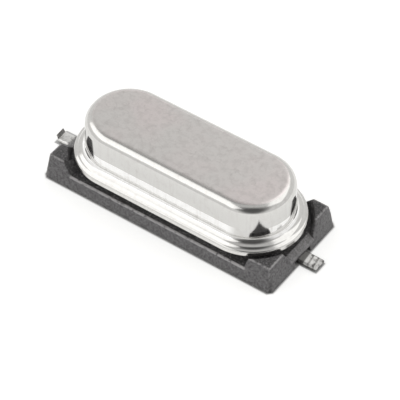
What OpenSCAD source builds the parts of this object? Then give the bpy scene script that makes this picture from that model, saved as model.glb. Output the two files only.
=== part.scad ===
// Surface-mount quartz crystal unit: a drawn metal can welded to a header, standing on a moulded
// plastic base, with two flattened leads that come out level with the underside.
// Millimetres. X is the length, Y the width, Z is up. The underside of the base is at Z = 0.

/* [Can] */
// Length of the can's upright body
can_l = 9.85; // [9.4:0.05:10.6]
// Width of the can's upright body
can_w = 3.68; // [3.4:0.02:4.0]
// Height of the can above the header's flange
can_h = 2.0; // [1.7:0.05:3.2]
// Thickness of the drawn metal
can_wall = 0.15; // [0.1:0.01:0.22]
// Radius of the edge around the flat top
top_r = 0.44; // [0.24:0.02:0.5]
// How far the flange stands out from the body, along each side
flange_side = 0.46; // [0.4:0.01:0.6]
// How far the flange stands out from the body, at each end
flange_end = 0.515; // [0.4:0.005:0.6]
// Thickness of the can's flange
can_flange_t = 0.12; // [0.08:0.01:0.16]
// How far the body widens, on each side, from its rounded top edge down to the flange
can_draft = 0.04; // [0.02:0.005:0.06]
// Radius of the flare between body and flange
flare_r = 0.48; // [0.38:0.02:0.48]
// Angle of the faint step where the flare leaves the body, in degrees
flare_step = 27; // [22:1:32]
// Angle that is left between the flare's foot and the flange, in degrees
flare_foot = 10; // [6:1:16]
// Round on the outer edge of both flanges
rim_r = 0.05; // [0.03:0.01:0.06]

/* [Header] */
// Thickness of the header's flange
header_flange_t = 0.2; // [0.14:0.01:0.26]
// Height of the header's foot under its flange
foot_h = 0.4; // [0.3:0.02:0.5]
// How far the foot stands in from the flange's edge
foot_in = 0.36; // [0.25:0.01:0.5]
// Height of the step inside the can
step_h = 0.14; // [0.08:0.01:0.2]
// Clearance around the step inside the can
step_gap = 0.05; // [0.03:0.01:0.1]
// Diameter of each glass seal
glass_d = 1.3; // [1.0:0.05:1.5]

/* [Plastic base] */
// How far the base reaches past the flange at the left end, at the underside
base_left = 0.42; // [0.2:0.01:0.6]
// How far the base reaches past the flange at the right end, at the underside
base_right = 0.26; // [0.2:0.01:0.6]
// How far the base reaches past the flange at each side, at the underside
base_side = 0.1; // [0.06:0.01:0.4]
// Height of the four corner blocks
base_h = 1.22; // [1.0:0.02:1.4]
// Height of the seat that the header stands on
seat_z = 0.64; // [0.56:0.02:0.8]
// How far the ends and the front lean in over the height of a corner block
base_draft = 0.21; // [0.1:0.01:0.24]
// How far the back leans in over the height of a corner block
back_draft = 0.3; // [0.2:0.01:0.34]
// How far each upright corner is cut back along its two faces, at the underside
corner_cut = 0.17; // [0.12:0.01:0.3]
// Length of a corner block along the side, at its foot
block_l = 1.4; // [1.2:0.05:1.7]
// How far the side ends of the front right and back left blocks lean back over their height
block_lean = 0.16; // [0.05:0.01:0.3]
// The same for the front left and back right blocks, which are shorter at the top
long_lean = 0.47; // [0.3:0.01:0.5]
// Gap between the flange and the corner blocks, at the seat
pocket_gap = 0.12; // [0.08:0.01:0.2]
// How far the pocket's wall leans out over its height
pocket_lean = 0.14; // [0.05:0.01:0.2]
// Width of the notch in each end, at its floor
notch_w = 1.7; // [1.5:0.05:2.0]
// How far each side of the left notch leans out over its height
notch_left = 0.55; // [0.3:0.05:0.6]
// How far each side of the right notch leans out over its height
notch_right = 0.35; // [0.1:0.05:0.5]
// Depth along X of the sloping lip below each notch
lip_l = 0.34; // [0.25:0.01:0.4]
// Height of the left lip's foot above the underside
lip_left = 0.56; // [0.4:0.01:0.58]
// Height of the right lip's foot above the underside
lip_right = 0.36; // [0.32:0.01:0.42]
// Width of the channel that each lead lies in
channel_w = 1.1; // [0.8:0.05:1.3]
// Depth of that channel
channel_h = 0.28; // [0.26:0.01:0.3]
// Clearance of the lead holes around the wire
hole_gap = 0.1; // [0.05:0.01:0.15]

/* [Leads] */
// Distance between the two wires
pitch = 4.88; // [4.6:0.02:5.1]
// Diameter of the wire
wire_d = 0.43; // [0.38:0.01:0.46]
// Thickness of the flattened lead
lead_t = 0.24; // [0.2:0.01:0.25]
// Width of the right lead, over its rounded edges
lead_w = 0.62; // [0.5:0.01:0.7]
// How far each lead reaches past the end of the base
lead_out = 0.81; // [0.6:0.01:1.2]
// Length of the slope at the tip of the right lead
tip_slope = 0.12; // [0.1:0.01:0.25]
// Thickness left at the very tip
tip_t = 0.08; // [0.05:0.01:0.1]
// Height of the underside at the tip of the right lead
tip_lift = 0.08; // [0.04:0.01:0.12]
// Length over which the underside rises towards each tip
lift_l = 0.3; // [0.2:0.02:0.5]
// Height of the left lead's tip, which is turned up
turn_up = 0.45; // [0.36:0.01:0.5]
// Length of the turned-up tip
turn_l = 0.13; // [0.08:0.01:0.2]
// Width of the turned-up tip
turn_w = 0.5; // [0.4:0.01:0.56]
// Thickness of the turned-up tip
turn_t = 0.08; // [0.05:0.01:0.1]
// Height of the underside where the turned-up tip begins
turn_z = 0.09; // [0.06:0.01:0.14]
// How far the left lead is turned aside, in degrees
lead_turn = 3.3; // [0:0.1:3.5]
// Width of the left lead, over its rounded edges
turned_w = 0.58; // [0.5:0.01:0.6]
// Radius of the bend, at the middle of the wire
bend_r = 0.32; // [0.26:0.01:0.34]
// Height of each wire above the header's step
post_h = 0.2; // [0.1:0.01:0.25]

/* [Crystal] */
// Length of the quartz strip
blank_l = 8.0; // [7.6:0.1:8.4]
// Width of the quartz strip
blank_w = 1.8; // [1.5:0.1:2.0]
// Thickness of the quartz strip
blank_t = 0.16; // [0.1:0.01:0.25]
// Length of each electrode
film_l = 3.8; // [3.0:0.1:4.4]
// Width of each electrode
film_w = 1.3; // [1.0:0.1:1.4]
// Width of the strip of film that runs to the clip
film_tab_w = 0.5; // [0.3:0.05:0.8]
// How far the top film stops short of the strip's end
tab_in = 0.1; // [0.05:0.01:0.2]
// Thickness of each electrode
film_t = 0.03; // [0.02:0.01:0.05]
// Thickness of the clip's metal
clip_t = 0.08; // [0.06:0.01:0.1]
// Width of each clip
clip_w = 0.9; // [0.6:0.05:1.2]
// How far the clip's shelf reaches under the strip
shelf_l = 0.65; // [0.5:0.05:0.8]
// Height of the shelf above the clip's foot
clip_rise = 0.3; // [0.2:0.02:0.36]
// Gap between the strip's end and the clip's upright end
end_gap = 0.03; // [0.02:0.01:0.06]
// Radius of each dab of conductive cement, at its foot
dot_r = 0.34; // [0.25:0.01:0.4]
// Radius of the dab at its top
dot_top_r = 0.22; // [0.12:0.01:0.25]
// Height of each dab of conductive cement
dot_h = 0.14; // [0.1:0.01:0.18]

/* [Hidden] */
$fn = 72;
eps = 0.01;
// How far the cutters of the two sides of the base overlap in its middle
overlap = 0.5;
can_r = can_w / 2;
half = (can_l - can_w) / 2;
rim = can_r + flange_side;
flange_l = can_l + 2 * flange_end;
flange_half = flange_l / 2 - rim;
base_x0 = -flange_l / 2 - base_left;
base_x1 = flange_l / 2 + base_right;
base_y = rim + base_side;
header_z = seat_z + foot_h;
can_z = header_z + header_flange_t;
flange_top = can_z + can_flange_t;
can_top = can_z + can_h;
step_z = can_z + step_h;
pin_x = pitch / 2;
flare_w = flare_r * (cos(flare_step) - sin(flare_foot));
flare_h = flare_r * (cos(flare_foot) - sin(flare_step));
post_z = step_z + post_h;
clip_z = post_z + clip_t;
blank_z = clip_z + clip_rise;

// Sweeps a half section, drawn with X as the distance from the middle line, around a long oval
// whose round ends are centred at x = -reach and x = reach.
module sweep(reach) {
  for (s = [-1, 1]) {
    translate([s * reach, 0, 0]) rotate([0, 0, -90 * s]) rotate_extrude(angle = 180) children();
  }
  rotate([90, 0, 90]) linear_extrude(2 * reach, center = true) {
    children();
    mirror([1, 0]) children();
  }
}

// Rectangle from the middle line out to r, between two heights, with its outer top edge rounded
module rounded_half(r, z0, z1, edge) {
  translate([0, z0]) difference() {
    square([r, z1 - z0]);
    translate([r - edge, z1 - z0 - edge]) difference() {
      square(edge + 1);
      circle(edge);
    }
  }
}

// Half section of the can's body: flat top, leaning wall and the flare that runs into the flange
module can_outside() {
  low_r = can_r + can_draft;
  rounded_half(can_r, can_z, can_top, top_r);
  polygon([[0, can_z], [low_r, can_z], [low_r, flange_top + flare_h], [can_r, can_top - top_r],
           [0, can_top - top_r]]);
  difference() {
    translate([0, can_z]) square([low_r + flare_w, can_flange_t + flare_h]);
    translate([low_r + flare_r * cos(flare_step), flange_top + flare_r * cos(flare_foot)])
      circle(flare_r);
  }
}

module metal_can() {
  color([0.80, 0.79, 0.78]) difference() {
    union() {
      sweep(half) can_outside();
      sweep(flange_half) rounded_half(rim, can_z, flange_top, rim_r);
    }
    sweep(half) rounded_half(can_r - can_wall, can_z - 1, can_top - can_wall, top_r - can_wall);
  }
}

// The header is stamped and filled with glass around each wire.
module header() {
  color([0.72, 0.71, 0.69]) difference() {
    union() {
      sweep(flange_half) {
        translate([0, seat_z]) square([rim - foot_in, foot_h + eps]);
        translate([0, header_z + can_z]) mirror([0, 1]) rounded_half(rim, header_z, can_z, rim_r);
      }
      sweep(half) translate([0, header_z]) square([can_r - can_wall - step_gap, step_z - header_z]);
    }
    for (s = [-1, 1]) {
      translate([s * pin_x, 0, seat_z - 1]) cylinder(d = glass_d, h = step_z - seat_z + 2);
    }
  }
}

module glass_seal(side) {
  color([0.30, 0.36, 0.34]) translate([side * pin_x, 0, seat_z]) difference() {
    cylinder(d = glass_d, h = step_z - seat_z);
    translate([0, 0, -1]) cylinder(d = wire_d, h = step_z - seat_z + 2);
  }
}

// Section across the base, from one side to the other
module leaning_section(low, high, low_lean, high_lean) {
  polygon([[low, 0], [high, 0], [high - high_lean, base_h], [low + low_lean, base_h]]);
}

// One end of the opening in the front side, up to a block whose end leans back
module side_opening(end, lean) {
  side = sign(end);
  reach = abs(end) - block_l;
  over = base_h + 1;
  slope = lean / (base_h - seat_z);
  translate([0, overlap, 0]) rotate([90, 0, 0]) linear_extrude(2 * base_y)
    polygon([[-side * overlap, seat_z], [side * reach, seat_z],
             [side * (reach + slope * (over - seat_z)), over], [-side * overlap, over]]);
}

// Notch in one end, with the rough lip that slopes out below it
module end_notch(end, lean, lip_z) {
  side = sign(end);
  foot = notch_w / 2;
  head = foot + 2 * lean;
  over = 2 * base_h - seat_z;
  rotate([90, 0, 90]) translate([0, 0, min(0, 2 * end)]) linear_extrude(2 * abs(end))
    polygon([[-foot, seat_z], [foot, seat_z], [head, over], [-head, over]]);
  rotate([90, 0, 0]) linear_extrude(notch_w, center = true)
    polygon([[end - side * lip_l, seat_z + eps], [end + side * eps, lip_z],
             [end + side, lip_z], [end + side, seat_z + eps]]);
}

// Channel and hole for the lead at one end
module wire_way(end) {
  side = sign(end);
  translate([side * pin_x, 0, -1]) cylinder(d = wire_d + 2 * hole_gap, h = seat_z + 2);
  translate([side * (pin_x - channel_w / 2) + end / 2, 0, 0])
    cube([abs(end), channel_w, 2 * channel_h], center = true);
  translate([side * (pin_x + (bend_r + hole_gap) / 2), 0, 0])
    cube([bend_r + hole_gap, wire_d + 2 * hole_gap, 2 * bend_r + wire_d], center = true);
}

module plastic_base() {
  middle = (base_x0 + base_x1) / 2;
  corner = ((base_x1 - base_x0) / 2 + base_y - corner_cut) / sqrt(2);
  length = base_x1 - base_x0;
  pocket_r = rim + pocket_gap;
  color([0.36, 0.35, 0.355]) difference() {
    intersection() {
      rotate([90, 0, 0]) linear_extrude(length, center = true)
        leaning_section(base_x0, base_x1, base_draft, base_draft);
      rotate([90, 0, 90]) linear_extrude(2 * length, center = true)
        leaning_section(-base_y, base_y, base_draft, back_draft);
      // The two sections that stand cornerwise cut the upright corners flat.
      translate([middle, 0, 0]) rotate([0, 0, 45]) {
        rotate([90, 0, 0]) linear_extrude(2 * length, center = true)
          leaning_section(-corner, corner, base_draft, base_draft);
      }
      translate([middle, 0, 0]) rotate([0, 0, -45]) {
        rotate([90, 0, 0]) linear_extrude(2 * length, center = true)
          leaning_section(-corner, corner, base_draft, base_draft);
      }
    }
    // Pocket for the flange, which breaks out through both long sides
    for (s = [-1, 1]) {
      translate([s * flange_half, 0, seat_z])
        cylinder(r1 = pocket_r, r2 = pocket_r + 2 * pocket_lean, h = 2 * (base_h - seat_z));
    }
    side_opening(base_x0, long_lean);
    side_opening(base_x1, block_lean);
    rotate([0, 0, 180]) side_opening(-base_x1, long_lean);
    rotate([0, 0, 180]) side_opening(-base_x0, block_lean);
    end_notch(base_x0, notch_left, lip_left);
    end_notch(base_x1, notch_right, lip_right);
    wire_way(base_x0);
    wire_way(base_x1);
  }
}

// Round wire that turns outward under the base, and the strip that it is pressed into there, which
// ends at a distance from the middle. Its underside rises over the last stretch.
module wire_and_strip(end, width, lift) {
  bend_z = lead_t / 2 + bend_r;
  flat_x = pin_x + bend_r;
  difference() {
    union() {
      translate([pin_x, 0, bend_z]) cylinder(d = wire_d, h = post_z - bend_z);
      translate([flat_x, 0, bend_z]) rotate([90, 0, 0]) rotate([0, 0, 180])
        rotate_extrude(angle = 90) translate([bend_r, 0]) circle(d = wire_d);
      intersection() {
        translate([flat_x, 0, lead_t / 2]) rotate([0, 90, 0]) cylinder(d = width, h = end - flat_x);
        translate([0, -width, 0]) cube([2 * end, 2 * width, lead_t]);
      }
    }
    translate([0, -width, -1]) cube([2 * end, 2 * width, 1]);
    rotate([90, 0, 0]) linear_extrude(2 * width, center = true)
      polygon([[end - lift_l, -eps], [end + eps, lift], [end + 1, lift], [end + 1, -eps]]);
  }
}

// The right lead, whose tip is sloped above
module lead_right() {
  tip_x = base_x1 + lead_out;
  tip_top = tip_lift + tip_t;
  color([0.76, 0.75, 0.72]) difference() {
    wire_and_strip(tip_x, lead_w, tip_lift);
    rotate([90, 0, 0]) linear_extrude(2 * lead_w, center = true)
      polygon([[tip_x - tip_slope, lead_t + eps], [tip_x + eps, tip_top],
               [tip_x + 1, tip_top], [tip_x + 1, lead_t + eps]]);
  }
}

// The left lead, a little turned aside, whose thin tip is turned up
module lead_left() {
  tip_x = lead_out - base_x0;
  turn_x = tip_x - turn_l;
  color([0.76, 0.75, 0.72]) rotate([0, 0, 180]) translate([pin_x, 0, 0]) rotate([0, 0, lead_turn])
    translate([-pin_x, 0, 0]) {
      wire_and_strip(turn_x, turned_w, turn_z);
      rotate([90, 0, 0]) linear_extrude(turn_w, center = true)
        polygon([[turn_x - turn_t / 2, turn_z], [turn_x, turn_z], [tip_x, turn_up - turn_t],
                 [tip_x - turn_t / 2, turn_up], [turn_x - eps, lead_t - eps]]);
    }
}

// Bent strip that is welded to the top of a wire and carries one end of the quartz
module clip(side) {
  shelf_x = blank_l / 2 - shelf_l;
  end_x = blank_l / 2 + end_gap;
  foot_x = pin_x - wire_d / 2 - clip_t;
  color([0.70, 0.70, 0.69]) rotate([0, 0, side > 0 ? 0 : 180]) translate([0, -clip_w / 2, 0]) {
    translate([foot_x, 0, post_z]) cube([shelf_x + clip_t - foot_x, clip_w, clip_t]);
    translate([shelf_x, 0, post_z]) cube([clip_t, clip_w, blank_z - post_z]);
    translate([shelf_x, 0, blank_z - clip_t]) cube([end_x + clip_t - shelf_x, clip_w, clip_t]);
    translate([end_x, 0, blank_z - clip_t]) cube([clip_t, clip_w, clip_t + blank_t]);
  }
}

module quartz_strip() {
  color([0.86, 0.88, 0.88]) translate([-blank_l / 2, -blank_w / 2, blank_z])
    cube([blank_l, blank_w, blank_t]);
}

// Film of metal on one face of the quartz, with a narrow strip out to one clip
module film(z, reach) {
  translate([-film_l / 2, -film_w / 2, z]) cube([film_l, film_w, film_t]);
  translate([film_l / 2 - eps, -film_tab_w / 2, z]) cube([reach - film_l / 2 + eps, film_tab_w, film_t]);
}

module top_electrode() {
  color([0.78, 0.78, 0.76]) film(blank_z + blank_t, blank_l / 2 - tab_in);
}

module bottom_electrode() {
  color([0.78, 0.78, 0.76]) rotate([0, 0, 180]) film(blank_z - film_t, blank_l / 2 - shelf_l);
}

// Dab on the end of the quartz and on the clip's upright end
module cement_dot(side) {
  dot_z = blank_z + blank_t;
  color([0.60, 0.60, 0.58]) difference() {
    translate([side * (blank_l / 2 + end_gap + clip_t - dot_r), 0, dot_z])
      cylinder(r1 = dot_r, r2 = dot_top_r, h = dot_h);
    if (side > 0) film(dot_z, blank_l / 2 - tab_in);
  }
}

plastic_base();
metal_can();
header();
glass_seal(-1);  // glass_seal_left
glass_seal(1);  // glass_seal_right
lead_left();
lead_right();
clip(-1);  // clip_left
clip(1);  // clip_right
quartz_strip();
top_electrode();
bottom_electrode();
cement_dot(-1);  // cement_dot_left
cement_dot(1);  // cement_dot_right
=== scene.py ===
"""Finished look of a surface-mount quartz crystal unit.

A drawn metal can is welded to a header, which stands on a moulded plastic base, and two flattened
leads come out level with the underside. Sizes in the classes are millimetres; every finished mesh
is in metres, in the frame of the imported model.
"""

import logging
import math
from collections.abc import Callable
from dataclasses import dataclass, field
from enum import Enum

import bmesh
import bpy
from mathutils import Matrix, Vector


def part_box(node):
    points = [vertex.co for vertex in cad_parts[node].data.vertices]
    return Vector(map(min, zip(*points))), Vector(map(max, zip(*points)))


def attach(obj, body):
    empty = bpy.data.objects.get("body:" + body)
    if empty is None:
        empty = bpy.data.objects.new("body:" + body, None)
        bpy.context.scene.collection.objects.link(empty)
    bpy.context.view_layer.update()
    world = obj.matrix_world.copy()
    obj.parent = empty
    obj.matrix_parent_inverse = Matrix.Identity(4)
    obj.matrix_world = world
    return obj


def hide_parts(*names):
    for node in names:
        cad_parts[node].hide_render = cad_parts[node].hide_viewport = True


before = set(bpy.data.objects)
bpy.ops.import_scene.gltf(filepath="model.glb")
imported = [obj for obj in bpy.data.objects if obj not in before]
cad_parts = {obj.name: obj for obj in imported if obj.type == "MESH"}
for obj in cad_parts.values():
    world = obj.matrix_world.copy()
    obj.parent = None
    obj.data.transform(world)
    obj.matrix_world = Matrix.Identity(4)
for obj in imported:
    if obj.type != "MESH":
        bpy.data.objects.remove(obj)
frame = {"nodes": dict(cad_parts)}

LOG = logging.getLogger("crystal_unit")
# A millimetre in metres
MM = 0.001
# In millimetres: places nearer than this count as one, and vertices nearer than this are merged.
CLOSE = 1e-4
DOUBLES = 0.0005
Point = tuple[float, float, float]
Span = tuple[float, float]
Colour = tuple[float, float, float]
Profile = list[Span]
MeshPart = bmesh.types.BMVert | bmesh.types.BMEdge | bmesh.types.BMFace


class Side(Enum):
    """The two ends of the unit along X."""

    LEFT = -1
    RIGHT = 1

    @property
    def word(self) -> str:
        """The side's name as the CAD nodes spell it."""
        return self.name.lower()

    def run(self, inner: float, outer: float) -> Span:
        """Lowest and highest X of a run that is given by its distances from the middle."""
        low, high = sorted((self.value * inner, self.value * outer))
        return low, high


class Lit(Enum):
    """Kinds of ray that see a surface's own glow."""

    CAMERA = "Is Camera Ray"
    GLOSSY = "Is Glossy Ray"
    THROUGH = "Is Transmission Ray"


# ---------------------------------------------------------------------------------------------
# Node trees
# ---------------------------------------------------------------------------------------------


class Signal:
    """A value on its way through a node tree. Arithmetic on it adds Math nodes."""

    def __init__(self, tree: "Recipe", socket: bpy.types.NodeSocket) -> None:
        """Keeps the tree that new nodes go into and the socket that gives the value."""
        self.tree = tree
        self.socket = socket

    def _math(self, operation: str, *values: "Signal | float") -> "Signal":
        """Adds one Math node.

        Args:
            operation: Name of the Math node's operation.
            values: The node's inputs, in order.

        Returns:
            The node's result.
        """
        sockets = dict(enumerate(values))
        return self.tree.node("ShaderNodeMath", {"operation": operation}, sockets)

    def __add__(self, other: "Signal | float") -> "Signal":
        """self + other."""
        return self._math("ADD", self, other)

    __radd__ = __add__

    def __sub__(self, other: "Signal | float") -> "Signal":
        """self - other."""
        return self._math("SUBTRACT", self, other)

    def __rsub__(self, other: float) -> "Signal":
        """other - self."""
        return self._math("SUBTRACT", other, self)

    def __mul__(self, other: "Signal | float") -> "Signal":
        """self * other."""
        return self._math("MULTIPLY", self, other)

    __rmul__ = __mul__

    def __truediv__(self, other: "Signal | float") -> "Signal":
        """self / other."""
        return self._math("DIVIDE", self, other)

    def __pow__(self, other: float) -> "Signal":
        """self to a power."""
        return self._math("POWER", self, other)

    def __abs__(self) -> "Signal":
        """The size of the value without its sign."""
        return self._math("ABSOLUTE", self)

    def swing(self, reach: float) -> "Signal":
        """Turns noise, whose middle is 0.5, into a swing around 0."""
        return (self - 0.5) * reach

    def sine(self) -> "Signal":
        """The sine of the value, taken as radians."""
        return self._math("SINE", self)

    def lowest(self, other: "Signal | float") -> "Signal":
        """The lower of two values."""
        return self._math("MINIMUM", self, other)

    def highest(self, other: "Signal | float") -> "Signal":
        """The higher of two values."""
        return self._math("MAXIMUM", self, other)

    def rise(self, start: float, end: float) -> "Signal":
        """Eases from 0 to 1 while the value goes from start to end.

        Args:
            start: Value that gives 0.
            end: Value that gives 1. It may be below start, which turns the slope round.

        Returns:
            The eased value, held between 0 and 1.
        """
        falling = end < start
        low, high = (end, start) if falling else (start, end)
        ranged = self.tree.node(
            "ShaderNodeMapRange",
            {"interpolation_type": "SMOOTHSTEP"},
            {"Value": self, "From Min": low, "From Max": high},
        )
        return 1.0 - ranged if falling else ranged


class Recipe:
    """A node tree under construction, for a material or for the world."""

    def __init__(self, owner: "bpy.types.Material | bpy.types.World") -> None:
        """Empties the owner's tree and keeps it.

        Args:
            owner: The material or world whose tree is built.
        """
        owner.use_nodes = True
        self.owner = owner
        self.nodes = owner.node_tree.nodes
        self.links = owner.node_tree.links
        self.nodes.clear()

    def node(
        self,
        kind: str,
        settings: "dict[str, object] | None" = None,
        sockets: "dict[int | str, object] | None" = None,
        output: "int | str" = 0,
    ) -> Signal:
        """Adds a node, sets it up and feeds it.

        Args:
            kind: The node's type.
            settings: Its properties, set before its sockets.
            sockets: Values or signals for its inputs, by index or name.
            output: Which output to hand back.

        Returns:
            The chosen output.
        """
        made = self.nodes.new(kind)
        for name, value in (settings or {}).items():
            setattr(made, name, value)
        for name, value in (sockets or {}).items():
            socket = made.inputs[name]
            if isinstance(value, Signal):
                self.links.new(value.socket, socket)
            elif isinstance(value, tuple) and len(value) == 3 and len(socket.default_value) == 4:
                socket.default_value = (*value, 1.0)
            else:
                socket.default_value = value
        return Signal(self, made.outputs[output])

    def blend(
        self, factor: "Signal | float", low: "Signal | Colour", high: "Signal | Colour"
    ) -> Signal:
        """Mixes two colours.

        Args:
            factor: 0 gives low and 1 gives high.
            low: First colour.
            high: Second colour.

        Returns:
            The mixed colour.
        """
        # A Mix node takes its colours at inputs 6 and 7 and gives the mix at output 2.
        return self.node(
            "ShaderNodeMix", {"data_type": "RGBA"}, {0: factor, 6: low, 7: high}, output=2
        )

    def vector(self, operation: str, *values: "Signal | Point", output: int = 0) -> Signal:
        """Adds one Vector Math node.

        Args:
            operation: Name of the Vector Math node's operation.
            values: The node's inputs, in order.
            output: 0 for a vector and 1 for a number.

        Returns:
            The node's result.
        """
        sockets = dict(enumerate(values))
        return self.node("ShaderNodeVectorMath", {"operation": operation}, sockets, output)

    def facing(self, look: Signal, way: Vector) -> Signal:
        """Cosine of the angle between the direction that is looked in and a fixed one."""
        return self.vector("DOT_PRODUCT", look, tuple(way), output=1)

    def finish(self, shader: Signal, kind: str = "ShaderNodeOutputMaterial") -> None:
        """Joins a shader to the tree's output."""
        made = self.nodes.new(kind)
        self.links.new(shader.socket, made.inputs["Surface"])


class Finish(Recipe):
    """A material's tree with the coordinates and textures that the unit's finishes share."""

    # A speck's full-strength core as a share of its radius, and the draw that gives a cell one
    SPECK_CORE = 0.45
    SPECK_DRAW = (0.80, 0.86)

    def __init__(self, name: str) -> None:
        """Starts a material with its position in millimetres at hand.

        Args:
            name: The material's name.
        """
        super().__init__(bpy.data.materials.new(name))
        raw = self.node("ShaderNodeTexCoord", output="Object")
        self.place = self.vector("MULTIPLY", raw, (1.0 / MM,) * 3)
        self._split: dict[str, Signal] = {}

    def axis(self, letter: str) -> Signal:
        """One coordinate of the position.

        Args:
            letter: "X", "Y" or "Z".

        Returns:
            The coordinate, in millimetres.
        """
        if not self._split:
            first = self.node("ShaderNodeSeparateXYZ", {}, {0: self.place})
            outputs = first.socket.node.outputs
            self._split = {key: Signal(self, outputs[key]) for key in "XYZ"}
        return self._split[letter]

    def cloud(
        self,
        scale: float,
        detail: float = 2.0,
        roughness: float = 0.5,
        stretch: Point = (1.0, 1.0, 1.0),
        offset: Point = (0.0, 0.0, 0.0),
    ) -> Signal:
        """Soft noise over the position.

        Args:
            scale: Lumps per millimetre.
            detail: Finer layers on top.
            roughness: Strength of the finer layers.
            stretch: Multipliers on the three coordinates.
            offset: Shift of the pattern, in millimetres.

        Returns:
            The noise, around 0.5.
        """
        spot = self.vector("MULTIPLY_ADD", self.place, stretch, offset)
        return self.node(
            "ShaderNodeTexNoise",
            {"noise_dimensions": "3D"},
            {"Vector": spot, "Scale": scale, "Detail": detail, "Roughness": roughness},
        )

    def specks(self, scale: float, size: float, offset: Point = (0.0, 0.0, 0.0)) -> Signal:
        """Small separate spots.

        Args:
            scale: Cells per millimetre, one possible spot in each.
            size: Radius of a spot as a share of its cell.
            offset: Shift of the pattern, in millimetres.

        Returns:
            1 inside a spot and 0 outside, with a soft edge. About one cell in six has a spot.
        """
        spot = self.vector("ADD", self.place, offset)
        sockets = {"Vector": spot, "Scale": scale}
        cell = self.node("ShaderNodeTexVoronoi", {"feature": "F1"}, sockets)
        outputs = cell.socket.node.outputs
        inside = Signal(self, outputs["Distance"]).rise(size, size * self.SPECK_CORE)
        draw = self.node("ShaderNodeSeparateColor", {}, {0: Signal(self, outputs["Color"])})
        return inside * draw.rise(*self.SPECK_DRAW)

    def relief(self, height: Signal, depth: float, under: "Signal | None" = None) -> Signal:
        """Bump from a height.

        Args:
            height: Height signal, 1 for a full step.
            depth: Height of a full step in millimetres.
            under: Normal of a coarser relief that lies underneath.

        Returns:
            The normal.
        """
        sockets: dict[int | str, object] = {
            "Height": height,
            "Distance": depth * MM,
            "Strength": 1.0,
        }
        if under is not None:
            sockets["Normal"] = under
        return self.node("ShaderNodeBump", {}, sockets)

    def surface(self, **sockets: object) -> bpy.types.Material:
        """Ends the tree with one Principled shader.

        Args:
            sockets: Inputs of the shader, with underscores for spaces.

        Returns:
            The finished material.
        """
        named = {key.replace("_", " "): value for key, value in sockets.items()}
        self.finish(self.node("ShaderNodeBsdfPrincipled", {}, named))
        return self.owner


# ---------------------------------------------------------------------------------------------
# Finishes
# ---------------------------------------------------------------------------------------------


@dataclass(frozen=True)
class Layer:
    """One layer of wear: the levels of a pattern between which it grows, and its strength."""

    start: float
    end: float
    strength: float

    def over(self, pattern: Signal) -> Signal:
        """How strong the layer is at each level of a pattern."""
        return pattern.rise(self.start, self.end) * self.strength


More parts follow.
